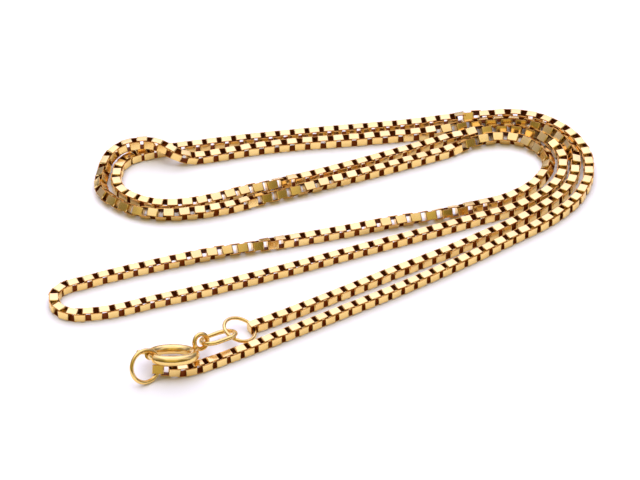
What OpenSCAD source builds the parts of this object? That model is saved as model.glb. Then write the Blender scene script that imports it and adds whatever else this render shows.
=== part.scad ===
// Fastened box chain necklace with a spring ring clasp, lying folded on a flat surface.
// X is the long way of the folded bundle, Y goes from the clasp's side to the far side and Z is up.

/* [Chain] */
// Width and height of one box link
link_w = 1.45; // [1.3:0.01:1.48]
// Length of one box link
link_len = 1.55; // [1.4:0.01:1.7]
// Width of the strip that a link is bent from
strip_w = 1.12; // [0.9:0.01:1.14]
// Thickness of the strip
strip_t = 0.15; // [0.1:0.01:0.16]
// Outer radius of a bend in the strip
strip_bend = 0.22; // [0.16:0.01:0.35]
// Space kept between neighbouring pieces that touch in real life
piece_gap = 0.12; // [0.1:0.01:0.2]

/* [Spring ring] */
// Radius of the case's centre line
case_r = 2.9; // [2.7:0.05:3.1]
// Radius of the case's tube
case_tube = 0.65; // [0.56:0.01:0.66]
// Radius of the sliding bolt
bolt_tube = 0.31; // [0.24:0.01:0.36]
// Clearance around the bolt in the case
bolt_play = 0.07; // [0.04:0.01:0.1]
// Where the mouth of the case starts, in degrees around the ring
mouth_from = 183; // [180:1:185]
// Width of the mouth in degrees
mouth_span = 41; // [36:1:42]
// How far the closed bolt reaches into the far side of the mouth, in degrees
bolt_seat = 2; // [1:0.5:4]
// How far the bolt slides back, in degrees
bolt_travel = 41; // [36:1:41]
// Length of the bolt behind the start of the mouth, in degrees
bolt_tail = 32; // [26:1:40]
// Where the thumb nub stands on the closed bolt, in degrees around the ring
nub_at = 163; // [160:1:166]
// Distance from the ring's middle to the nub's tip
nub_reach = 4.9; // [4.6:0.05:5]
// Radius of the nub's stem
nub_r = 0.24; // [0.18:0.01:0.28]
// Radius of the nub's round head
nub_head = 0.33; // [0.28:0.01:0.38]
// Clearance on each side of the nub in its slot
slot_play = 0.06; // [0.05:0.01:0.08]

/* [Eye] */
// Radius of the eye's centre line
eye_r = 0.98; // [0.9:0.01:1.05]
// Radius of the eye's wire
eye_wire = 0.3; // [0.24:0.01:0.34]
// Where the eye stands, in degrees around the ring
eye_at = 33.5; // [33:0.5:34]
// How far the eye's middle leans up out of the ring's plane, in degrees
eye_lean = 38; // [36:1:40]
// How deep the eye's wire is soldered into the case
eye_bite = 0.08; // [0.04:0.01:0.12]

/* [Loose rings] */
// Centre line radius of the ring that the bolt holds
end_ring_r = 2.1; // [2.05:0.01:2.2]
// Wire radius of the ring that the bolt holds
end_ring_wire = 0.28; // [0.22:0.01:0.3]
// End radius of the oval connector's centre line
connector_r = 1.54; // [1.51:0.01:1.57]
// Half length of the connector's straight sides
connector_half = 0.85; // [0.8:0.01:0.9]
// Wire radius of the connector
connector_wire = 0.3; // [0.24:0.01:0.32]
// Centre line radius of the large jump ring
jump_ring_r = 2.1; // [2.05:0.01:2.2]
// Wire radius of the large jump ring
jump_ring_wire = 0.25; // [0.2:0.01:0.27]

/* [Hidden] */
$fn = 72;

gold = "gold";
pale_gold = "khaki";
deep_gold = "goldenrod";

// Places of the clasp's pieces
ring_place = [-19.95, -24.54, 2.33];
ring_turn = [-26.8, 0, 0];
end_ring_place = [-23.31, -26.6, 2.22];
end_ring_turn = [46.3, 54.2, 0];
connector_place = [-14.1, -20.67, 1.89];
connector_turn = [-23.5, 4.9, 33.8];
jump_ring_place = [-11.38, -18.44, 1.25];
jump_ring_turn = [1.2, 18.5, 0];
end_link_a_place = [-21.76, -25.85, 1.03];
end_link_a_turn = 3;
end_link_a_roll = 50;
end_link_b_place = [-9.52, -17.28, 0.73];
end_link_b_turn = 30;
end_link_b_roll = 0;

// Columns: X, Y, lift off the surface in chain heights, and roll about the way the chain runs, in degrees
ROUTE = [
    [-17.8, -25.5, 0, 0],
    [-15.5, -24.55, 0, 0],
    [-12.0, -22.65, 0, 0],
    [0.0, -15.6, 0, 0],
    [12.0, -8.3, 0, 0],
    [24.0, -0.1, 0, 0],
    [31.5, 5.7, 0, 0],
    [34.7, 10.0, 0, 0],
    [36.0, 15.0, 0, 0],
    [35.2, 20.0, 0, 0],
    [32.2, 24.3, 0, 0],
    [27.4, 26.8, 0, 0],
    [21.5, 26.6, 0, 0],
    [11.0, 24.7, 0, 0],
    [-4.0, 22.6, 0, 0],
    [-19.0, 19.9, 0, 0],
    [-24.5, 18.6, 0, 0],
    [-27.6, 16.9, 0, 0],
    [-28.7, 13.8, 0, 0],
    [-28.3, 10.8, 0, 0],
    [-26.0, 8.6, 0, 0],
    [-22.6, 7.4, 0, 0],
    [-18.5, 7.6, 0, 0],
    [-10.0, 10.6, 0, 0],
    [0.0, 14.3, 0, 0],
    [10.0, 18.5, 0, 0],
    [17.5, 21.8, 0, 0],
    [21.9, 23.3, 0, 0],
    [26.7, 23.6, 0, 0],
    [30.0, 21.8, 0, 0],
    [32.1, 18.7, 0, 0],
    [32.4, 15.2, 0, 0],
    [31.3, 11.8, 0, 0],
    [27.0, 7.6, 0, 0],
    [20.0, 4.3, 0, 0],
    [5.0, -1.8, 0, 0],
    [-10.0, -7.8, 0, 0],
    [-22.0, -12.1, 0, 0],
    [-31.0, -14.8, 0, 0],
    [-34.3, -14.6, 0, 0],
    [-35.9, -12.4, 0, 0],
    [-35.2, -10.1, 0, 0],
    [-32.5, -8.7, 0, 0],
    [-20.0, -4.2, 0, 0],
    [-5.0, -0.1, 0, 0],
    [8.0, 3.4, 0, 0],
    [20.0, 6.9, 0, 0],
    [26.0, 9.6, 0, 0],
    [29.3, 13.0, 0, 0],
    [30.4, 15.3, 0, -10],
    [30.2, 18.0, 0, -35],
    [28.6, 20.1, 0, -45],
    [26.1, 21.5, 0, -35],
    [22.1, 21.5, 0, -25],
    [16.0, 18.6, 0, 0],
    [4.0, 13.6, 0, 0],
    [-8.0, 8.9, 0, 0],
    [-19.0, 5.5, 0, -15],
    [-24.4, 5.6, 0, -22],
    [-28.2, 7.5, 0, -22],
    [-30.6, 10.4, 0, -22],
    [-30.6, 13.8, 0.15, -22],
    [-29.4, 17.1, 0.65, -22],
    [-26.2, 18.7, 1, -22],
    [-23.2, 18.3, 1.05, -18],
    [-20.6, 17.2, 0.6, -8],
    [-18.0, 17.5, 0, 0],
    [-8.0, 19.9, 0, 0],
    [6.0, 21.8, 0, 0],
    [15.5, 23.3, 0, 0],
    [21.7, 25.0, 0, 0],
    [27.0, 25.2, 0, 0],
    [31.1, 23.1, 0, 0],
    [33.7, 19.4, 0, 0],
    [34.1, 15.1, 0, 0],
    [33.0, 11.2, 0, 0],
    [29.5, 7.0, 0, 0],
    [20.0, 0.1, 0, 0],
    [8.0, -7.1, 0, 0],
    [-5.5, -15.1, 0, 0]
];
X = 0;
Y = 1;
LIFT = 2;
ROLL = 3;

strand_gap = 0.1;
bore_r = bolt_tube + bolt_play;
eye_off = case_tube + eye_wire + eye_r - eye_bite;
mouth_to = mouth_from + mouth_span;
bolt_from = mouth_from - bolt_tail;
bolt_to = mouth_to + bolt_seat;
slot_from = nub_at - bolt_travel;
slot_w = 2 * (nub_r + slot_play);

// Height of a rolled link's middle over its lowest corner
function half_height(roll) = max(link_w * abs(cos(roll)) + strip_w * abs(sin(roll)),
                                 link_w * abs(sin(roll)) + strip_w * abs(cos(roll))) / 2;
function unit(v) = v / norm(v);
function ahead(turn) = [cos(turn), sin(turn)];
// The end of a tube, just clear of the loose link that follows it
function beside(place, turn) = [place[X], place[Y]] + (link_len / 2 + piece_gap) * ahead(turn);
function lifted(row) = [row[X], row[Y], half_height(row[ROLL]) + row[LIFT] * (link_w + strand_gap), row[ROLL]];

START = beside(end_link_a_place, end_link_a_turn);
FINISH = beside(end_link_b_place, end_link_b_turn);
PATH = concat(
    [[START[X], START[Y], end_link_a_place[2], end_link_a_roll]],
    [for (row = ROUTE) lifted(row)],
    [[FINISH[X], FINISH[Y], end_link_b_place[2], end_link_b_roll]]
);
LAST = len(PATH) - 1;
// The front tube ends and the rear tube starts halfway along the path
SEAM = floor(LAST / 2);

function spot(i) = [PATH[i][X], PATH[i][Y]];
function leg(i) = unit(spot(min(i, LAST - 1) + 1) - spot(min(i, LAST - 1)));
function heading(i) = unit(leg(max(i - 1, 0)) + leg(i));
function mitre(i) = 1 / (heading(i) * leg(i));
// A point of the section: the roll leans the top to the right of the way the chain runs
function rolled(p, roll) = [p[X] * cos(roll) + p[Y] * sin(roll), p[Y] * cos(roll) - p[X] * sin(roll)];

// The outline of two neighbouring links seen along the chain
SECTION = [
    [link_w, strip_w] / 2,
    [strip_w, link_w] / 2,
    [-strip_w, link_w] / 2,
    [-link_w, strip_w] / 2,
    [-link_w, -strip_w] / 2,
    [-strip_w, -link_w] / 2,
    [strip_w, -link_w] / 2,
    [link_w, -strip_w] / 2
];
SIDES = len(SECTION);

function section_at(i) = [
    for (p = SECTION)
        let (q = rolled(p, PATH[i][ROLL]), h = heading(i))
        [
            PATH[i][X] + h[Y] * q[X] * mitre(i),
            PATH[i][Y] - h[X] * q[X] * mitre(i),
            PATH[i][2] + q[Y]
        ]
];

// The chain between two points of its path as one plain solid
module strand(from, to) {
    rings = to - from + 1;
    last_ring = (rings - 1) * SIDES;
    polyhedron(
        points = [for (i = [from:to]) each section_at(i)],
        faces = concat(
            [[for (k = [0:SIDES - 1]) SIDES - 1 - k]],
            [[for (k = [0:SIDES - 1]) last_ring + k]],
            [
                for (i = [0:rings - 2], k = [0:SIDES - 1])
                    let (a = i * SIDES + k, b = i * SIDES + (k + 1) % SIDES)
                    each [[a, b, b + SIDES], [a, b + SIDES, a + SIDES]]
            ]
        ),
        convexity = 10
    );
}

module rounded_oblong(length, width, r) {
    square([length - 2 * r, width], center = true);
    square([length, width - 2 * r], center = true);
    for (x = [-1, 1], y = [-1, 1])
        translate([x * (length / 2 - r), y * (width / 2 - r)])
            circle(r = r);
}

// One link: a strip bent into a square tube that is open along its own Y
module box_link() {
    rotate([90, 0, 0])
        linear_extrude(height = strip_w, center = true)
            difference() {
                rounded_oblong(link_len, link_w, strip_bend);
                rounded_oblong(link_len - 2 * strip_t, link_w - 2 * strip_t, strip_bend - strip_t);
            }
}

module placed_link(place, turn, roll) {
    translate(place)
        rotate([0, 0, turn])
            rotate([roll, 0, 0])
                box_link();
}

// Part of a round ring in its own plane
module ring_arc(r, tube, from, span) {
    rotate([0, 0, from])
        rotate_extrude(angle = span)
            translate([r, 0])
                circle(r = tube);
}

module round_ring(r, wire) {
    rotate_extrude()
        translate([r, 0])
            circle(r = wire);
}

// Puts its children where the spring ring lies
module on_spring_ring() {
    translate(ring_place)
        rotate(ring_turn)
            children();
}

// The eye stands across the ring's plane, soldered to the case
module eye() {
    rotate([0, 0, eye_at])
        translate([case_r + eye_off * cos(eye_lean), 0, eye_off * sin(eye_lean)])
            rotate([90, 0, 0])
                round_ring(eye_r, eye_wire);
}

// The slot in the outer wall that the nub slides along
module nub_slot() {
    margin = asin((nub_r + slot_play) / case_r);
    rotate([0, 0, slot_from - margin])
        rotate_extrude(angle = bolt_travel + 2 * margin)
            translate([case_r, -slot_w / 2])
                square([2 * case_tube, slot_w]);
}

module chain_front() {
    color(gold)
        strand(0, SEAM);
}

module chain_rear() {
    color(gold)
        strand(SEAM, LAST);
}

module end_link_a() {
    color(pale_gold)
        placed_link(end_link_a_place, end_link_a_turn, end_link_a_roll);
}

module end_link_b() {
    color(pale_gold)
        placed_link(end_link_b_place, end_link_b_turn, end_link_b_roll);
}

module end_ring() {
    color(pale_gold)
        translate(end_ring_place)
            rotate(end_ring_turn)
                round_ring(end_ring_r, end_ring_wire);
}

module connector_ring() {
    color(deep_gold)
        translate(connector_place)
            rotate(connector_turn) {
                for (x = [-1, 1])
                    translate([x * connector_half, 0, 0])
                        ring_arc(connector_r, connector_wire, -90 * x, 180);
                for (y = [-1, 1])
                    translate([0, y * connector_r, 0])
                        rotate([0, 90, 0])
                            cylinder(r = connector_wire, h = 2 * connector_half, center = true);
            }
}

module jump_ring() {
    color(pale_gold)
        translate(jump_ring_place)
            rotate(jump_ring_turn)
                round_ring(jump_ring_r, jump_ring_wire);
}

module spring_ring_case() {
    color(gold)
        on_spring_ring()
            difference() {
                union() {
                    ring_arc(case_r, case_tube, mouth_to, 360 - mouth_span);
                    eye();
                }
                round_ring(case_r, bore_r);
                nub_slot();
            }
}

module spring_ring_bolt() {
    color(deep_gold)
        on_spring_ring() {
            ring_arc(case_r, bolt_tube, bolt_from, bolt_to - bolt_from);
            rotate([0, 0, nub_at])
                translate([case_r, 0, 0])
                    rotate([0, 90, 0]) {
                        cylinder(r = nub_r, h = nub_reach - nub_head - case_r);
                        translate([0, 0, nub_reach - nub_head - case_r])
                            sphere(r = nub_head);
                    }
        }
}

chain_front();
chain_rear();
end_link_a();
end_link_b();
end_ring();
connector_ring();
jump_ring();
spring_ring_case();
spring_ring_bolt();
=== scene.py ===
# %% [markdown]
# A fine box chain necklace with a spring ring clasp, lying folded on a white table.
# The measured model holds the clasp as true solids and the chain as two plain tubes. This lesson
# dresses it: first the camera, then the smooth path of the chain, one link and its gold, the clasp
# and its rings, and last the table and the light.

# %% Load the measured model
import math

import bpy
import numpy as np
from mathutils import Euler, Matrix, Vector


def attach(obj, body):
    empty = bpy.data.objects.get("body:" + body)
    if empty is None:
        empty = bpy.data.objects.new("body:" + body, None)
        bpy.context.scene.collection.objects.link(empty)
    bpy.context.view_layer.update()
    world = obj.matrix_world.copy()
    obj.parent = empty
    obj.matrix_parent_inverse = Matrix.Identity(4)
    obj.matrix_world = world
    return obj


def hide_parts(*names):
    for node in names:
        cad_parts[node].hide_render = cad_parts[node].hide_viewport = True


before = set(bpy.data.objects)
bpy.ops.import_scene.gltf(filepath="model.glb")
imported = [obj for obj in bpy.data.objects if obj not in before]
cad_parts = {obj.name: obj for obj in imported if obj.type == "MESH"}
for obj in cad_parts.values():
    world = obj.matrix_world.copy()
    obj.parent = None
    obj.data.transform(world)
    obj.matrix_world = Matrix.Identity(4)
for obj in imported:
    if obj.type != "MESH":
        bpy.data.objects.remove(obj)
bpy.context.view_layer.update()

MM = 0.001
scene = bpy.context.scene
print("solids:", sorted(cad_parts))

# %% [markdown]
# The camera comes first, because everything else is judged through it. The chain was seen from about
# 40 degrees above the table through a long lens, which keeps the far strands nearly as wide as the
# near ones. So the camera stands half a metre away, with a lens to match, and looks at the middle of
# the picture.

# %% Set the camera
ELEVATION = math.radians(40.5)
CAMERA_DISTANCE = 0.4977
LENS_MM = 208.1
SENSOR_MM = 36.0
NEAREST_SEEN = 0.01
LOOK_AT = Vector((-0.0009, 0.0010, 0.0))

camera_data = bpy.data.cameras.new("table_camera")
camera_data.lens = LENS_MM
camera_data.sensor_width = SENSOR_MM
camera_data.clip_start = NEAREST_SEEN
camera = bpy.data.objects.new("table_camera", camera_data)
scene.collection.objects.link(camera)
back_and_up = Vector((0.0, -math.cos(ELEVATION), math.sin(ELEVATION)))
camera.location = LOOK_AT + CAMERA_DISTANCE * back_and_up
camera.rotation_euler = Euler((math.pi / 2 - ELEVATION, 0.0, 0.0))
scene.camera = camera
print("camera at", [round(v, 3) for v in camera.location])

# %% [markdown]
# A box link is a narrow strip of gold bent into a small square tube, so a few sizes describe it. Its
# neighbours pass through it at a quarter turn, which is why a link is longer than the step to the next.

# %% The sizes of a link
LINK_W = 1.45 * MM
LINK_LEN = 1.55 * MM
STRIP_W = 1.12 * MM
STRIP_T = 0.15 * MM
STRIP_BEND = 0.22 * MM
STRAND_GAP = 0.1 * MM
print(f"a link is {LINK_LEN / MM:.2f} x {LINK_W / MM:.2f} x {STRIP_W / MM:.2f} mm")

# %% [markdown]
# The chain is one long line, so its path is settled before its links. A few listed points say
# where it lies, how high it is lifted where it crosses itself, and how far it rolls about its own
# length. At each end of the path is a link that holds a ring of the clasp.

# %% The points that the chain passes through
# The first and last links: X, Y, Z and roll in degrees
LINK_A = (-0.02176, -0.02585, 0.00103, 50)
LINK_B = (-0.00952, -0.01728, 0.00073, 0)

# Columns: X, Y, lift off the table in chain heights, and roll in degrees
ROUTE = [
    # From the clasp along the front to the right
    (-0.0178, -0.0255, 0, 0), (-0.0155, -0.02455, 0, 0), (-0.0120, -0.02265, 0, 0), (0.0, -0.0156, 0, 0),
    (0.0120, -0.0083, 0, 0), (0.0240, -0.0001, 0, 0), (0.0315, 0.0057, 0, 0), (0.0347, 0.0100, 0, 0),
    # The widest right turn
    (0.0360, 0.0150, 0, 0), (0.0352, 0.0200, 0, 0), (0.0322, 0.0243, 0, 0), (0.0274, 0.0268, 0, 0),
    # Along the rear to the left
    (0.0215, 0.0266, 0, 0), (0.0110, 0.0247, 0, 0), (-0.0040, 0.0226, 0, 0), (-0.0190, 0.0199, 0, 0),
    # The inner left rear turn
    (-0.0245, 0.0186, 0, 0), (-0.0276, 0.0169, 0, 0), (-0.0287, 0.0138, 0, 0), (-0.0283, 0.0108, 0, 0),
    (-0.0260, 0.0086, 0, 0), (-0.0226, 0.0074, 0, 0),
    # Back to the right
    (-0.0185, 0.0076, 0, 0), (-0.0100, 0.0106, 0, 0), (0.0, 0.0143, 0, 0), (0.0100, 0.0185, 0, 0),
    (0.0175, 0.0218, 0, 0), (0.0219, 0.0233, 0, 0),
    # The third right turn, counted from outside
    (0.0267, 0.0236, 0, 0), (0.0300, 0.0218, 0, 0), (0.0321, 0.0187, 0, 0), (0.0324, 0.0152, 0, 0),
    (0.0313, 0.0118, 0, 0),
    # Along the front to the left
    (0.0270, 0.0076, 0, 0), (0.0200, 0.0043, 0, 0), (0.0050, -0.0018, 0, 0), (-0.0100, -0.0078, 0, 0),
    (-0.0220, -0.0121, 0, 0), (-0.0310, -0.0148, 0, 0),
    # The left front turn
    (-0.0343, -0.0146, 0, 0), (-0.0359, -0.0124, 0, 0), (-0.0352, -0.0101, 0, 0), (-0.0325, -0.0087, 0, 0),
    # Back to the right
    (-0.0200, -0.0042, 0, 0), (-0.0050, -0.0001, 0, 0), (0.0080, 0.0034, 0, 0), (0.0200, 0.0069, 0, 0),
    (0.0260, 0.0096, 0, 0),
    # The innermost right turn, where the chain rolls
    (0.0293, 0.0130, 0, 0), (0.0304, 0.0153, 0, -10), (0.0302, 0.0180, 0, -35), (0.0286, 0.0201, 0, -45),
    (0.0261, 0.0215, 0, -35), (0.0221, 0.0215, 0, -25),
    # To the left
    (0.0160, 0.0186, 0, 0), (0.0040, 0.0136, 0, 0), (-0.0080, 0.0089, 0, 0), (-0.0190, 0.0055, 0, -15),
    # The outer left rear turn, which climbs over the first strand
    (-0.0244, 0.0056, 0, -22), (-0.0282, 0.0075, 0, -22), (-0.0306, 0.0104, 0, -22),
    (-0.0306, 0.0138, 0.15, -22), (-0.0294, 0.0171, 0.65, -22), (-0.0262, 0.0187, 1, -22),
    (-0.0232, 0.0183, 1.05, -18), (-0.0206, 0.0172, 0.6, -8),
    # To the right again
    (-0.0180, 0.0175, 0, 0), (-0.0080, 0.0199, 0, 0), (0.0060, 0.0218, 0, 0), (0.0155, 0.0233, 0, 0),
    (0.0217, 0.0250, 0, 0),
    # The second right turn, counted from outside
    (0.0270, 0.0252, 0, 0), (0.0311, 0.0231, 0, 0), (0.0337, 0.0194, 0, 0), (0.0341, 0.0151, 0, 0),
    (0.0330, 0.0112, 0, 0),
    # The last strand, back to the clasp
    (0.0295, 0.0070, 0, 0), (0.0200, 0.0001, 0, 0), (0.0080, -0.0071, 0, 0), (-0.0055, -0.0151, 0, 0),
]
print(len(ROUTE), "points between the end links")

# %% [markdown]
# A box chain can twist: over a few links a flat side turns up where an edge was. Those turns are kept
# in a list of their own, by the distance along the chain, because they don't fall on the path's points.
# The links also have a little play, so they aren't quite evenly spaced, and a second list says which
# link has been reached at some distances.

# %% The twists and the spacing of the links
# Millimetres along the chain and quarter turns about its own length
TWISTS = [
    (0, 0), (1.05, 0.38), (2.1, 0.72), (3.2, 0.94), (4.1, 1), (94.8, 1), (98.4, 0), (155, 0),
    (163, 0.15), (171, 0.33), (174.4, 0.56), (176, 0.8), (179, 1), (203, 1), (206, 1.5), (208, 1.72),
    (212.5, 1.74), (215, 1.5), (219, 1), (314, 1), (320, 1.13), (324, 1.25), (327, 1.45), (330, 1.66),
    (334.5, 1.93), (337, 2), (343, 2.05), (347, 2.2), (351, 2.38), (354, 2.52), (357, 2.67), (361, 2.9),
    (364, 3), (372, 2.97), (374, 2.71), (375.5, 2.77), (377.3, 2.71), (379, 2.9), (380.5, 3.01),
    (382, 3.12), (384.5, 3.04), (387, 2.94), (389, 2.6), (393, 2), (404, 2), (408.5, 1.9), (412, 1.75),
    (415.5, 1.5), (420, 1.33), (422.5, 1.12), (427, 1), (434, 0.95), (439, 0.72), (442, 0.67),
    (446, 0.74), (449, 1.0), (452, 1.15), (457, 1.15), (461, 1.05), (465, 1), (496, 1), (498, 1.2),
    (500.3, 1.5), (502.5, 1.72), (505.5, 1.78), (509.5, 1.75), (512.5, 1.6), (515, 1.5), (519.5, 1.55),
    (521.5, 1.8), (524, 2),
]

# Millimetres along the chain and the number of the link there
LINK_MARKS = [
    (0, 0), (6.3, 6), (75.4, 74), (98.9, 95), (137.9, 133), (155.2, 151), (171.3, 167), (178.3, 174),
    (203.1, 198), (218.2, 212), (295.4, 284), (303.6, 292), (322.9, 310), (336.5, 323), (353.3, 339),
    (361, 346), (393.7, 377), (408.4, 391), (424, 406), (436.7, 418), (463.4, 444), (493.7, 472),
    (520.7, 497), (559.2, 533),
]
LAST_LINK = 552
print(len(TWISTS), "marks of twist,", LAST_LINK + 1, "links")

# %% [markdown]
# A Bezier curve through the points, with handles along the line between each point's neighbours, bends
# as smoothly as the real chain does. It is worked out here in small steps, so that the distance along
# the chain is known before a link is placed.

# %% A smooth curve through points
STEPS_PER_LEG = 24
HANDLE_SHARE = 0.39


def smooth(points, steps):
    """Points along a Bezier curve whose handles follow each point's two neighbours."""
    ahead = np.vstack([points[1:] - points[:-1], points[-1:] - points[-2:-1]])
    behind = np.vstack([ahead[:1], ahead[:-1]])
    long_ahead = np.linalg.norm(ahead[:, :2], axis=1)[:, None]
    long_behind = np.linalg.norm(behind[:, :2], axis=1)[:, None]
    along = ahead / long_ahead + behind / long_behind
    along /= np.linalg.norm(along[:, :2], axis=1)[:, None]
    out_handle = points + along * long_ahead * HANDLE_SHARE
    in_handle = points - along * long_behind * HANDLE_SHARE
    t = np.linspace(0.0, 1.0, steps, endpoint=False)[None, :, None]
    a, b, c, d = points[:-1, None], out_handle[:-1, None], in_handle[1:, None], points[1:, None]
    legs = a * (1 - t) ** 3 + 3 * b * t * (1 - t) ** 2 + 3 * c * t * t * (1 - t) + d * t ** 3
    return np.vstack([legs.reshape(-1, points.shape[1]), points[-1:]])


print("curve tool ready,", STEPS_PER_LEG, "steps from point to point")

# %% [markdown]
# The height of the chain depends on its roll: a box on its edge stands taller than a box on its side.
# So the roll is worked out first, from the route and the twists, and the height follows from it.

# %% Work out the path of the chain


def half_height(roll):
    """Height of a rolled link's middle over its lowest corner; the roll is in radians."""
    c, s = np.abs(np.cos(roll)), np.abs(np.sin(roll))
    return np.maximum(LINK_W * c + STRIP_W * s, LINK_W * s + STRIP_W * c) / 2


def end_row(x, y, z, roll):
    """An end link as a row of the route, its height given as a lift."""
    lift = (z - half_height(math.radians(roll))) / (LINK_W + STRAND_GAP)
    return (x, y, lift, roll)


rows = np.array([end_row(*LINK_A)] + ROUTE + [end_row(*LINK_B)], float)
track = smooth(rows, STEPS_PER_LEG)
strides = np.linalg.norm(np.diff(track[:, :2], axis=0), axis=1)
distance = np.concatenate([[0.0], np.cumsum(strides)])
twist_at, twist_turns = np.array(TWISTS, float).T
roll = np.radians(track[:, 3] + 90.0 * np.interp(distance, twist_at * MM, twist_turns))
lift = np.maximum(track[:, 2], 0.0) * (LINK_W + STRAND_GAP)
path = np.column_stack([track[:, 0], track[:, 1], half_height(roll) + lift, roll])
print(f"the chain is {distance[-1] / MM:.1f} mm long")

# %% [markdown]
# Each link gets one point of a poly curve. The curve also keeps the roll at each point as its tilt, so
# that one object carries all that the links have to know.

# %% Put one point of the path at each link
mark_at, mark_number = np.array(LINK_MARKS + [(distance[-1] / MM, LAST_LINK)], float).T
link_at = np.interp(np.arange(LAST_LINK + 1), mark_number, mark_at * MM)
stops = np.column_stack([np.interp(link_at, distance, column) for column in path.T])

path_data = bpy.data.curves.new("chain_path", "CURVE")
path_data.dimensions = "3D"
spline = path_data.splines.new("POLY")
spline.points.add(len(stops) - 1)
spline.points.foreach_set("co", np.column_stack([stops[:, :3], np.ones(len(stops))]).ravel())
spline.points.foreach_set("tilt", stops[:, 3])
chain = bpy.data.objects.new("chain_links", path_data)
scene.collection.objects.link(chain)
print(f"{len(stops)} links, {np.diff(link_at).mean() / MM:.3f} mm apart")

# %% [markdown]
# Hundreds of links follow the path, every second one turned by a quarter, so Geometry Nodes are the
# right tool: one link is drawn from its sizes, put at every point, and turned by the path's own tilt.
# Two small classes keep the wiring short. A Wire is one output, and maths on it adds maths nodes.

# %% A short way to wire nodes


class Wire:
    """One output socket of a node tree, with the operators that add maths nodes."""

    def __init__(self, tree, socket):
        self.tree = tree
        self.socket = socket

    def maths(self, operation, *values):
        return Bench(self.tree).node("ShaderNodeMath", {"operation": operation}, *values)

    def __add__(self, other):
        return self.maths("ADD", self, other)

    def __radd__(self, other):
        return self.maths("ADD", other, self)

    def __sub__(self, other):
        return self.maths("SUBTRACT", self, other)

    def __rsub__(self, other):
        return self.maths("SUBTRACT", other, self)

    def __mul__(self, other):
        return self.maths("MULTIPLY", self, other)

    def __rmul__(self, other):
        return self.maths("MULTIPLY", other, self)

    def __truediv__(self, other):
        return self.maths("DIVIDE", self, other)

    def __rtruediv__(self, other):
        return self.maths("DIVIDE", other, self)

    def __mod__(self, other):
        return self.maths("MODULO", self, other)

    def __rmod__(self, other):
        return self.maths("MODULO", other, self)

    def __abs__(self):
        return self.maths("ABSOLUTE", self)

    def clamped(self, low=0.0, high=1.0):
        return self.maths("MINIMUM", self.maths("MAXIMUM", self, low), high)


class Bench:
    """Adds nodes of any type to one tree."""

    def __init__(self, tree):
        self.tree = tree

    def node(self, kind, settings=None, *values, out=0, **named):
        """Adds a node; its settings come first, then its open inputs in order or any input by name."""
        made = self.tree.nodes.new(kind)
        for key, value in (settings or {}).items():
            if key == "stops":
                for k, (place, colour) in enumerate(value):
                    stop = made.color_ramp.elements[k] if k < 2 else made.color_ramp.elements.new(place)
                    stop.position, stop.color = place, colour
            else:
                setattr(made, key, value)
        pairs = list(zip([s for s in made.inputs if s.enabled], values))
        pairs += [(made.inputs[name.replace("_", " ")], value) for name, value in named.items()]
        for socket, value in pairs:
            if isinstance(value, Wire):
                self.tree.links.new(value.socket, socket)
            elif value is not None:
                socket.default_value = value
        return Wire(self.tree, made.outputs[out])


print("wiring helpers ready")

# %% [markdown]
# The tree takes its sizes as named inputs, so that the same tree could make a finer or a heavier chain.
# The play is how far a link may swing from its place, as three angles.

# %% Name the inputs of the tree of links
EDGE_EASE = 0.03 * MM
LINK_PLAY = tuple(math.radians(angle) for angle in (3.0, 1.5, 4.0))
SIZES = {
    "Link length": ("NodeSocketFloat", LINK_LEN),
    "Link width": ("NodeSocketFloat", LINK_W),
    "Strip width": ("NodeSocketFloat", STRIP_W),
    "Strip thickness": ("NodeSocketFloat", STRIP_T),
    "Bend radius": ("NodeSocketFloat", STRIP_BEND),
    "Edge ease": ("NodeSocketFloat", EDGE_EASE),
    "Play": ("NodeSocketVector", LINK_PLAY),
}

tree = bpy.data.node_groups.new("links_on_a_path", "GeometryNodeTree")
tree.interface.new_socket("Geometry", in_out="INPUT", socket_type="NodeSocketGeometry")
tree.interface.new_socket("Geometry", in_out="OUTPUT", socket_type="NodeSocketGeometry")
for name, (kind, _) in SIZES.items():
    tree.interface.new_socket(name, in_out="INPUT", socket_type=kind)
tree.interface.new_socket("Gold", in_out="INPUT", socket_type="NodeSocketMaterial")
bench = Bench(tree)
given = tree.nodes.new("NodeGroupInput")
size = {s.name: Wire(tree, s) for s in given.outputs if s.name}
print("inputs:", ", ".join(size))

# %% [markdown]
# The link itself is a sweep. The strip's middle line is a rectangle with rounded corners, and its
# cross-section is a small rectangle whose edges are eased as rolling and tumbling leave them. With
# so few steps at each corner a link has only a few dozen faces, which matters when there are hundreds.

# %% Draw one link
BEND_STEPS, EASE_STEPS = 2, 1


def rounded_box(length, width, steps, radius):
    """A rectangle's outline with each corner rounded in a few steps."""
    outline = bench.node("GeometryNodeCurvePrimitiveQuadrilateral", {"mode": "RECTANGLE"}, length, width)
    return bench.node("GeometryNodeFilletCurve", {"mode": "POLY"}, outline, steps, radius)


thickness = size["Strip thickness"]
middle_line = rounded_box(size["Link length"] - thickness, size["Link width"] - thickness,
                          BEND_STEPS, size["Bend radius"] - thickness / 2)
strip = rounded_box(thickness, size["Strip width"], EASE_STEPS, size["Edge ease"])
link = bench.node("GeometryNodeCurveToMesh", {}, middle_line, strip)
link = bench.node("GeometryNodeTransform", {}, link, Rotation=(math.pi / 2, 0.0, 0.0))
print("link drawn")

# %% [markdown]
# The inside of a link and the strip's cut edges are given painted shade that the polished sides don't get,
# so those faces are marked with named attributes that the gold can read. A face is inside if it looks
# towards the link's middle, and it is a cut edge if it looks sideways, along the strip's width.

# %% Mark the inner faces and the cut edges
CUT_EDGE_FROM = 0.6


def compared(value, operation, limit):
    return bench.node("FunctionNodeCompare", {"data_type": "FLOAT", "operation": operation}, value, limit)


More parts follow.
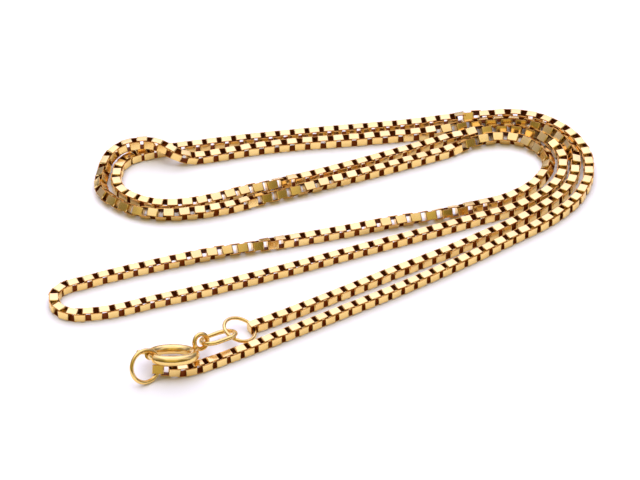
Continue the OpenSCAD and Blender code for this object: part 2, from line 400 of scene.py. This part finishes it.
def marked(shape, attribute, value, domain="FACE"):
    """The shape with a named attribute stored on it."""
    settings = {"data_type": "FLOAT", "domain": domain}
    return bench.node("GeometryNodeStoreNamedAttribute", settings, shape, None, attribute, value)


facing = bench.node("GeometryNodeInputNormal")
spot = bench.node("GeometryNodeInputPosition")
outward = bench.node("ShaderNodeVectorMath", {"operation": "DOT_PRODUCT"}, spot, facing, out=1)
link = marked(link, "inside", compared(outward, "LESS_THAN", 0.0))
sideways = abs(bench.node("ShaderNodeSeparateXYZ", {}, facing, out=1))
link = marked(link, "cut_edge", compared(sideways, "GREATER_THAN", CUT_EDGE_FROM))
print("faces marked")

# %% [markdown]
# A link stands upright on the path, swings by its small random play, and only then turns about the
# path by its tilt and by a quarter if its number is odd. Each link also gets a random tone of its own,
# which the gold uses. Both random values have a fixed seed, so the chain is the same every time.

# %% Put a link at every point
PLAY_SEED, TONE_SEED = 3, 7
QUARTER_TURN = math.pi / 2


def turned_by(start, change):
    """A rotation that follows another one, about the axes that the first one made."""
    return bench.node("FunctionNodeRotateRotation", {"rotation_space": "LOCAL"}, start, change)


along = bench.node("GeometryNodeInputTangent")
tilt = bench.node("GeometryNodeInputCurveTilt")
number = bench.node("GeometryNodeInputIndex")
axes = {"primary_axis": "X", "secondary_axis": "Z"}
upright = bench.node("FunctionNodeAxesToRotation", axes, along, (0.0, 0.0, 1.0))
least = bench.node("ShaderNodeVectorMath", {"operation": "SCALE"}, size["Play"], Scale=-1.0)
vector = {"data_type": "FLOAT_VECTOR"}
swing = bench.node("FunctionNodeRandomValue", vector, least, size["Play"], Seed=PLAY_SEED)
quarter = (number % 2) * QUARTER_TURN
spin = bench.node("FunctionNodeAxisAngleToRotation", {}, (1.0, 0.0, 0.0), tilt + quarter)
turned = turned_by(turned_by(upright, swing), spin)
placed = bench.node("GeometryNodeInstanceOnPoints", {}, size["Geometry"], None, link, Rotation=turned)
tone = bench.node("FunctionNodeRandomValue", {"data_type": "FLOAT"}, Seed=TONE_SEED, out=1)
placed = marked(placed, "tone", tone, "INSTANCE")
real = bench.node("GeometryNodeRealizeInstances", {}, placed)
real = bench.node("GeometryNodeSetMaterial", {}, real, None, size["Gold"])
result = tree.nodes.new("NodeGroupOutput")
tree.links.new(real.socket, result.inputs["Geometry"])
print(len(tree.nodes), "nodes in the tree")

# %% [markdown]
# Polished gold is all reflection, so its material is mostly a metal of the right colour. What makes it
# real is small: a faint unevenness left by tumbling, fine scratches, and a slightly deeper colour from
# link to link. Inside a link, where gold reflects gold, the dim light is painted in as a dull brown shade,
# and the strip's cut edges get a darker orange-brown painted shade; both are set apart from the polished
# sides.

# %% A polished gold
# Painted shade: the dull brown painted on a link's inner faces in place of the dim light inside it
INNER_PAINTED_SHADE = (0.17, 0.036, 0.0015, 1.0)
INNER_ROUGH = 0.5
# Painted shade: the darker orange-brown painted on the strip's cut edges in place of the warm shade they
# reflect
CUT_EDGE_PAINTED_SHADE = (0.72, 0.36, 0.08, 1.0)
DRIFT_IN_PIECE, DRIFT_BY_LINK, DRIFT_START = 0.7, 0.5, 0.1
CLOUD_ROUGH, SCRATCH_ROUGH = 0.10, 0.06
CLOUD_DENT, SCRATCH_DENT = 0.6, 0.4
DENT_STRENGTH, DENT_DEPTH = 0.6, 0.02 * MM
SCRATCHES_PER_GRAIN = 6.0


def gold(name, light, deep, rough, grain):
    """A gold whose colour drifts between two tones; grain is the size of the unevenness in metres."""
    made = bpy.data.materials.new(name)
    made.use_nodes = True
    made.node_tree.nodes.clear()
    mix = Bench(made.node_tree)

    def mark(attribute):
        return mix.node("ShaderNodeAttribute", {"attribute_name": attribute}, out=2)

    def blend(factor, colour, other):
        return mix.node("ShaderNodeMix", {"data_type": "RGBA"}, factor, colour, other, out=2)

    place = mix.node("ShaderNodeTexCoord", out=3)
    cloud = mix.node("ShaderNodeTexNoise", {}, place, Scale=1.0 / grain, Detail=3.0, Roughness=0.55)
    scratch_scale = SCRATCHES_PER_GRAIN / grain
    scratches = mix.node("ShaderNodeTexNoise", {}, place, Scale=scratch_scale, Detail=2.0, Roughness=0.5)
    depth = (cloud * DRIFT_IN_PIECE + mark("tone") * DRIFT_BY_LINK - DRIFT_START).clamped()
    inside = mark("inside")
    colour = blend(depth, light, deep)
    # the cut edges take their painted shade colour
    colour = blend(mark("cut_edge"), colour, CUT_EDGE_PAINTED_SHADE)
    # the inner faces take the painted shade brown and a duller gloss
    colour = blend(inside, colour, INNER_PAINTED_SHADE)
    gloss = cloud * CLOUD_ROUGH + scratches * SCRATCH_ROUGH + rough
    gloss = gloss * (1.0 - inside) + inside * INNER_ROUGH
    relief = cloud * CLOUD_DENT + scratches * SCRATCH_DENT
    dents = mix.node("ShaderNodeBump", {}, DENT_STRENGTH, DENT_DEPTH, Height=relief)
    surface = mix.node("ShaderNodeBsdfPrincipled", {}, Base_Color=colour, Metallic=1.0,
                       Roughness=gloss, Normal=dents)
    output = made.node_tree.nodes.new("ShaderNodeOutputMaterial")
    made.node_tree.links.new(surface.socket, output.inputs["Surface"])
    return made


print("gold recipe ready")

# %% [markdown]
# The chain's gold and the clasp's differ a little, so the recipe is used twice. The clasp is deeper in
# colour and smoother, and as its wires are rounder its unevenness is broader.

# %% Mix the two golds
CHAIN_GOLD = gold("chain gold", light=(0.97, 0.71, 0.29, 1.0), deep=(0.92, 0.61, 0.205, 1.0),
                  rough=0.14, grain=0.9 * MM)
CLASP_GOLD = gold("clasp gold", light=(0.94, 0.67, 0.24, 1.0), deep=(0.85, 0.54, 0.135, 1.0),
                  rough=0.10, grain=1.6 * MM)
print("golds mixed:", CHAIN_GOLD.name, "and", CLASP_GOLD.name)

# %% [markdown]
# The tree goes on the path as a modifier. Each input is set by its socket's identifier, and the result
# is turned into a plain mesh, because a finished piece has to stand by itself. Weighted normals then
# keep the flat sides of the links flat, while their rounded corners stay soft.

# %% Lay the links along the path
follow = chain.modifiers.new("links", "NODES")
follow.node_group = tree
inputs = {item.name: item.identifier for item in tree.interface.items_tree if item.in_out == "INPUT"}
for name, (_, value) in SIZES.items():
    follow[inputs[name]] = value
follow[inputs["Gold"]] = CHAIN_GOLD


def as_mesh(source, name):
    """The evaluated object as a plain mesh object, with the source removed."""
    evaluated = source.evaluated_get(bpy.context.evaluated_depsgraph_get())
    mesh = bpy.data.meshes.new_from_object(evaluated)
    made = bpy.data.objects.new(name, mesh)
    scene.collection.objects.link(made)
    bpy.data.objects.remove(source)
    return made


links = as_mesh(chain, "box_links")
print(len(links.data.polygons), "faces;", [round(v / MM, 2) for v in links.dimensions], "mm")

even = links.modifiers.new("even normals", "WEIGHTED_NORMAL")
even.keep_sharp = False
links.data.shade_smooth()
links = as_mesh(links, "box_chain_links")
for node in ("chain_front", "chain_rear", "end_link_a", "end_link_b"):
    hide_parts(node)
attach(links, "necklace")

# %% [markdown]
# The clasp is all wire and tube, so one tool draws it: a flat line with a circle swept along it. The
# circle's radius may change on the way, which gives the bolt its round tip and a ring the faint groove
# where it was cut and closed.

# %% A sweep along a flat line
WIRE_SIDES = 28


def sweep(line, radii, closed=False, sides=WIRE_SIDES):
    """Corners and faces of a tube along a line in the XY plane. Open ends are closed by a flat face."""
    line, count = np.array(line, float), len(line)
    if closed:
        ahead = np.roll(line, -1, 0) - np.roll(line, 1, 0)
    else:
        ahead = np.gradient(line, axis=0)
    ahead /= np.linalg.norm(ahead, axis=1)[:, None]
    outward = np.column_stack([ahead[:, 1], -ahead[:, 0], np.zeros(count)])
    around = np.arange(sides) * 2 * math.pi / sides
    radii = np.broadcast_to(radii, count)[:, None, None]
    centre = np.column_stack([line, np.zeros(count)])[:, None]
    up = np.array([0.0, 0.0, 1.0])
    spokes = np.cos(around)[None, :, None] * outward[:, None] + np.sin(around)[None, :, None] * up
    corners = centre + radii * spokes
    faces = []
    for i in range(count if closed else count - 1):
        a, b = i * sides, (i + 1) % count * sides
        faces += [(a + k, b + k, b + (k + 1) % sides, a + (k + 1) % sides) for k in range(sides)]
    if not closed:
        faces += [tuple(range(sides - 1, -1, -1)), tuple(range((count - 1) * sides, count * sides))]
    return corners.reshape(-1, 3), faces


def arc(radius, start, end, count):
    """Points of a circle's arc; the angles are in degrees."""
    t = np.radians(np.linspace(start, end, count))
    return np.column_stack([radius * np.cos(t), radius * np.sin(t)])


print("sweep ready,", WIRE_SIDES, "sides to a wire")

# %% [markdown]
# Each part of the clasp is drawn flat in millimetres and then put where it was measured. Its place goes
# into the mesh, so that the finished piece sits unturned at the origin, as the measured solids do.

# %% Place, join and finish a shape


def turned_to(place=(0, 0, 0), turn=(0, 0, 0)):
    """The matrix of a place in millimetres and turns in degrees about X, then Y, then Z."""
    angles = Euler([math.radians(v) for v in turn])
    return Matrix.Translation(Vector(place)) @ angles.to_matrix().to_4x4()


def moved(shape, matrix):
    """The shape with a matrix worked into its corners."""
    corners, faces = shape
    m = np.array(matrix)
    return corners @ m[:3, :3].T + m[:3, 3], faces


def joined(*shapes):
    """Several shapes as one."""
    corners, faces, start = [], [], 0
    for points, polygons in shapes:
        corners.append(points)
        faces += [tuple(start + k for k in face) for face in polygons]
        start += len(points)
    return np.vstack(corners), faces


def piece(name, shape, gold_material):
    """A smooth mesh object from a shape in millimetres."""
    corners, faces = shape
    mesh = bpy.data.meshes.new(name)
    mesh.from_pydata((corners * MM).tolist(), [], faces)
    mesh.materials.append(gold_material)
    mesh.shade_smooth()
    made = bpy.data.objects.new(name, mesh)
    scene.collection.objects.link(made)
    print(name, len(faces), "faces")
    return made


print("shape tools ready")

# %% [markdown]
# The three plain rings are bent from round wire and closed by a butt joint, which shows as a hair-thin
# groove. The connector is an oval: two half circles with short straight sides between them. Wire bent
# by hand is never quite even, so its thickness wavers a little.

# %% A ring of wire
GROOVE_DEPTH = 0.10
GROOVE_SPREAD = 0.06
WAVER = 0.012
HALF_STEPS, SIDE_STEPS = 61, 12


def wire_ring(radius, wire, half=0.0, joint=0.0):
    """A ring or, with half a straight side's length, an oval; the joint is an angle in degrees."""
    right = arc(radius, -90, 90, HALF_STEPS) + (half, 0)
    left = arc(radius, 90, 270, HALF_STEPS) - (half, 0)
    if half:
        side = np.linspace(half, -half, SIDE_STEPS)[1:-1, None]
        far, near = np.hstack([side, 0 * side + radius]), np.hstack([-side, 0 * side - radius])
        line = np.vstack([right, far, left, near])
    else:
        line = np.vstack([right[:-1], left[:-1]])
    bearing = np.arctan2(line[:, 1], line[:, 0])
    turn_away = (bearing - math.radians(joint) + math.pi) % (2 * math.pi) - math.pi
    away = np.abs(turn_away) * radius
    groove = 1 - GROOVE_DEPTH * np.exp(-(away / GROOVE_SPREAD) ** 2)
    radii = wire * groove * (1 + WAVER * np.sin(3 * bearing + joint))
    return sweep(line, radii, closed=True)


print("ring tool ready")

# %% [markdown]
# The end ring is what the clasp is fastened to, and the jump ring holds the chain's other end. The
# small heavy connector joins the jump ring to the clasp's eye. Each replaces its plain solid.

# %% Draw the loose rings
# Columns: place, turns, ring's radius, wire's radius, half of a straight side, and the joint's angle
RINGS = {
    "end_ring": ((-23.31, -26.6, 2.22), (46.3, 54.2, 0), 2.1, 0.28, 0.0, 150),
    "connector_ring": ((-14.1, -20.67, 1.89), (-23.5, 4.9, 33.8), 1.54, 0.3, 0.85, 100),
    "jump_ring": ((-11.38, -18.44, 1.25), (1.2, 18.5, 0), 2.1, 0.25, 0.0, 60),
}
for node, (place, turn, radius, wire, half, joint) in RINGS.items():
    shape = moved(wire_ring(radius, wire, half, joint), turned_to(place, turn))
    ring = piece("polished_" + node, shape, CLASP_GOLD)
    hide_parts(node)
    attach(ring, "necklace")

# %% [markdown]
# The spring ring is a hollow tube bent nearly to a circle. Its mouth is where the bolt slides back, and
# a slot in its outer wall lets the bolt's thumb bar through. The outer skin is swept, and the faces
# over the slot are left out.

# %% Sweep the skin of the spring ring's case
SPRING_RING = turned_to((-19.95, -24.54, 2.33), (-26.8, 0, 0))
CASE_R, CASE_TUBE, WALL = 2.9, 0.65, 0.27
MOUTH_FROM, MOUTH_TO = 183, 224
SLOT_FROM, SLOT_TO, SLOT_HALF = 116, 169, 4
CASE_SIDES, CASE_STEPS = 52, 214

case_line = arc(CASE_R, MOUTH_TO, MOUTH_FROM + 360, CASE_STEPS + 1)
corners, faces = sweep(case_line, CASE_TUBE, sides=CASE_SIDES)


def in_slot(index):
    """Whether a side face of the skin lies over the slot in the outer wall."""
    step, side = divmod(index, CASE_SIDES)
    bearing = MOUTH_TO + (step + 0.5) * (MOUTH_FROM + 360 - MOUTH_TO) / CASE_STEPS - 360
    return SLOT_FROM < bearing < SLOT_TO and min(side + 0.5, CASE_SIDES - side - 0.5) < SLOT_HALF


skin = [face for k, face in enumerate(faces[:-2]) if not in_slot(k)]
case = piece("case_skin", moved((corners, skin), SPRING_RING), CLASP_GOLD)

# %% [markdown]
# A Solidify modifier gives the skin its wall, inwards, and a Bevel eases the edges of the mouth and the
# slot as filing and polishing do. Both are worked into the mesh before the eye is added.

# %% Give the case its wall and eased edges
EASED_BY = 0.045
EASED_STEPS = 2
EASED_OVER = math.radians(50)

wall = case.modifiers.new("wall", "SOLIDIFY")
wall.thickness = WALL * MM
wall.offset = -1.0
eased = case.modifiers.new("eased edges", "BEVEL")
eased.width = EASED_BY * MM
eased.segments = EASED_STEPS
eased.limit_method = "ANGLE"
eased.angle_limit = EASED_OVER
case = as_mesh(case, "case_tube")
print("case with its wall:", len(case.data.polygons), "faces")

# %% [markdown]
# The eye stands across the tube, and a drop of solder holds it at its foot. The drop is a sphere swept
# along its own axis and then squashed, since solder draws itself out along a joint.

# %% Draw the eye and its drop of solder
EYE_R, EYE_WIRE, EYE_AT, EYE_LEAN, EYE_OFF = 0.98, 0.3, 33.5, 38, 1.85
DROP_SIZE, DROP_LIFT = (0.24, 0.40, 0.42), 0.1
DROP_STEPS, DROP_END, DROP_SIDES = 24, 0.02, 24

lean = math.radians(EYE_LEAN)
at_eye = SPRING_RING @ turned_to(turn=(0, 0, EYE_AT))
eye_middle = (CASE_R + EYE_OFF * math.cos(lean), 0, EYE_OFF * math.sin(lean))
eye_ring = wire_ring(EYE_R, EYE_WIRE, joint=EYE_LEAN + 180)
eye = moved(eye_ring, at_eye @ turned_to(eye_middle, (90, 0, 0)))

drop_line = -np.cos(np.linspace(DROP_END, math.pi - DROP_END, DROP_STEPS))
drop_radii = np.sqrt(1 - drop_line ** 2)
drop = sweep(np.column_stack([drop_line, 0 * drop_line]), drop_radii, sides=DROP_SIDES)
drop_out = CASE_TUBE + DROP_LIFT
foot = (CASE_R + drop_out * math.cos(lean), 0, drop_out * math.sin(lean))
at_foot = at_eye @ turned_to(foot, (0, -EYE_LEAN, 0))
drop = moved(drop, at_foot @ Matrix.Diagonal((*DROP_SIZE, 1.0)))
fittings = piece("eye_and_solder", joined(eye, drop), CLASP_GOLD)

# %% [markdown]
# The tube, the eye and the solder are one hard piece on the real clasp, so they become one mesh here
# too, which replaces the case's plain solid.

# %% Make the case one piece


def merged(name, *objects):
    """Several mesh objects as one, with the originals removed."""
    shapes = []
    for made in objects:
        mesh = made.data
        flat = np.empty(len(mesh.vertices) * 3)
        mesh.vertices.foreach_get("co", flat)
        shapes.append((flat.reshape(-1, 3) / MM, [tuple(face.vertices) for face in mesh.polygons]))
        bpy.data.objects.remove(made)
    return piece(name, joined(*shapes), CLASP_GOLD)


case = merged("polished_case", case, fittings)
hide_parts("spring_ring_case")
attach(case, "necklace")

# %% [markdown]
# The bolt is a solid wire inside the case, round at its tip, with a thumb bar that stands out through
# the slot. It is a body of its own, so it rides the bolt and slides when the joint moves. Both its
# ends are rounded in the same way: the radius shrinks as a circle's does over the last steps.

# %% Draw the bolt
BOLT_R, BOLT_FROM, BOLT_TO = 0.31, 151, 226
NUB_AT, NUB_REACH, NUB_STEM, NUB_HEAD = 163, 4.9, 0.24, 0.33
ROD_STEPS, STEM_STEPS, ROUND_STEPS, ROUND_TO = 60, 14, 9, 84

rounding = np.radians(np.linspace(0, ROUND_TO, ROUND_STEPS))[1:]
tip_angle = math.degrees(BOLT_R / CASE_R)
rod_bearings = np.linspace(BOLT_FROM, BOLT_TO - tip_angle, ROD_STEPS)
tip_bearings = BOLT_TO - tip_angle * (1 - np.sin(rounding))
t = np.radians(np.concatenate([rod_bearings, tip_bearings]))
radii = np.concatenate([np.full(ROD_STEPS, BOLT_R), BOLT_R * np.cos(rounding)])
rod = sweep(np.column_stack([CASE_R * np.cos(t), CASE_R * np.sin(t)]), radii)

swell = np.linspace(0, 1, STEM_STEPS)
stem_end = NUB_REACH - NUB_HEAD
nub_x = np.concatenate([CASE_R + swell * (stem_end - CASE_R), stem_end + NUB_HEAD * np.sin(rounding)])
stem_radii = NUB_STEM + (NUB_HEAD - NUB_STEM) * swell ** 3
nub_radii = np.concatenate([stem_radii, NUB_HEAD * np.cos(rounding)])
nub = sweep(np.column_stack([nub_x, 0 * nub_x]), nub_radii)
nub = moved(nub, turned_to(turn=(0, 0, NUB_AT)))
bolt = piece("polished_bolt", moved(joined(rod, nub), SPRING_RING), CLASP_GOLD)
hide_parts("spring_ring_bolt")
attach(bolt, "bolt")

# %% [markdown]
# Every measured solid now has a finished piece in its place. The solids stay in the file for whoever
# uses the part, so they get the same golds and don't look plain if they are ever shown.

# %% Give the measured solids their gold too
for name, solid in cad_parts.items():
    solid.data.materials.clear()
    solid.data.materials.append(CLASP_GOLD if "ring" in name else CHAIN_GOLD)
print("gold on", len(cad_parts), "solids")

# %% [markdown]
# The table is plain white and dull, so that it takes soft shadows and shows no reflection. It is only
# part of the stage, not of the necklace.

# %% Set the table
TABLE_HALF = 0.6
TABLE_WHITE = (0.88, 0.88, 0.88, 1.0)
TABLE_ROUGH = 0.9

scene.view_settings.view_transform = "Standard"
table_mesh = bpy.data.meshes.new("table")
table_corners = [(TABLE_HALF * x, TABLE_HALF * y, 0) for x, y in ((-1, -1), (1, -1), (1, 1), (-1, 1))]
table_mesh.from_pydata(table_corners, [], [(0, 1, 2, 3)])
table = bpy.data.objects.new("table", table_mesh)
scene.collection.objects.link(table)
table_paint = bpy.data.materials.new("table white")
table_paint.use_nodes = True
paint = table_paint.node_tree.nodes["Principled BSDF"]
paint.inputs["Base Color"].default_value = TABLE_WHITE
paint.inputs["Roughness"].default_value = TABLE_ROUGH
table_mesh.materials.append(table_paint)
print("table set")

# %% [markdown]
# Metal shows what stands around it, so the room is painted for the gold. The sky is pale and faintly
# blue where the tops of the links look, and darker and warmer on the camera's side, which is what a
# face that leans toward the camera shows. It also falls off to the left and right, so that faces which
# look sideways turn darker.

# %% Paint the room that the gold reflects
# From the horizon in front of the lens, over the top, to the horizon behind the camera
SKY = [
    (0.0, (0.40, 0.40, 0.45)), (0.10, (0.70, 0.70, 0.95)), (0.20, (0.95, 0.95, 1.60)),
    (0.42, (1.35, 1.33, 1.95)), (0.55, (1.30, 1.28, 1.60)), (0.65, (0.82, 0.73, 0.46)),
    (0.78, (0.58, 0.50, 0.21)), (0.91, (0.37, 0.31, 0.11)), (1.0, (0.14, 0.10, 0.03)),
]
# From the middle of the room to its sides
SIDE_FALL = [(0.0, 1.0), (0.34, 1.0), (0.6, 0.40), (1.0, 0.34)]

world = bpy.data.worlds.new("pale room")
scene.world = world
world.use_nodes = True
world.node_tree.nodes.clear()
room = Bench(world.node_tree)
toward = room.node("ShaderNodeTexCoord", out=0)
x, y, z = [room.node("ShaderNodeSeparateXYZ", {}, toward, out=k) for k in range(3)]
overhead = room.node("ShaderNodeMath", {"operation": "ARCTAN2"}, z, y) / math.pi
sky_stops = [(place, (*tone, 1.0)) for place, tone in SKY]
side_stops = [(place, (share, share, share, 1.0)) for place, share in SIDE_FALL]
sky = room.node("ShaderNodeValToRGB", {"stops": sky_stops}, overhead)
fall = room.node("ShaderNodeValToRGB", {"stops": side_stops}, abs(x))
glow = room.node("ShaderNodeBackground", {}, sky, fall)
world_output = world.node_tree.nodes.new("ShaderNodeOutputWorld")
world.node_tree.links.new(glow.socket, world_output.inputs["Surface"])
print("room painted with", len(SKY), "tones of sky")

# %% [markdown]
# Large soft panels do the lighting, as in a small tent for jewellery. One stands behind and gives the
# tops their shine, and one at each side rounds off the wires. The last one is warm and lights the
# table from above, and it stays out of the gold's reflections.

# %% Hang the soft panels
PANEL_DISTANCE = 1.2


def panel(name, azimuth, elevation, width, height, strength, colour=(1.0, 1.0, 1.0)):
    """A soft light that looks at the middle of the table; azimuth 0 is behind the chain."""
    light = bpy.data.lights.new(name, "AREA")
    light.shape = "RECTANGLE"
    light.size, light.size_y = width, height
    light.energy = math.pi * width * height * strength
    light.color = colour
    made = bpy.data.objects.new(name, light)
    scene.collection.objects.link(made)
    a, e = math.radians(azimuth), math.radians(elevation)
    aim = Vector((math.sin(a) * math.cos(e), math.cos(a) * math.cos(e), math.sin(e)))
    made.location = PANEL_DISTANCE * aim
    made.rotation_euler = made.location.to_track_quat("Z", "Y").to_euler()
    print(name, "at", [round(v, 2) for v in made.location])
    return made


panel("back_panel", 0, 42, width=1.6, height=1.1, strength=0.80, colour=(0.64, 0.64, 1.0))
panel("left_panel", -58, 45, width=0.6, height=0.9, strength=0.5)
panel("right_panel", 85, 45, width=0.6, height=0.8, strength=0.4)
fill = panel("table_fill", 0, 75, width=1.6, height=1.6, strength=1.3, colour=(1.0, 0.97, 0.84))
fill.visible_glossy = False
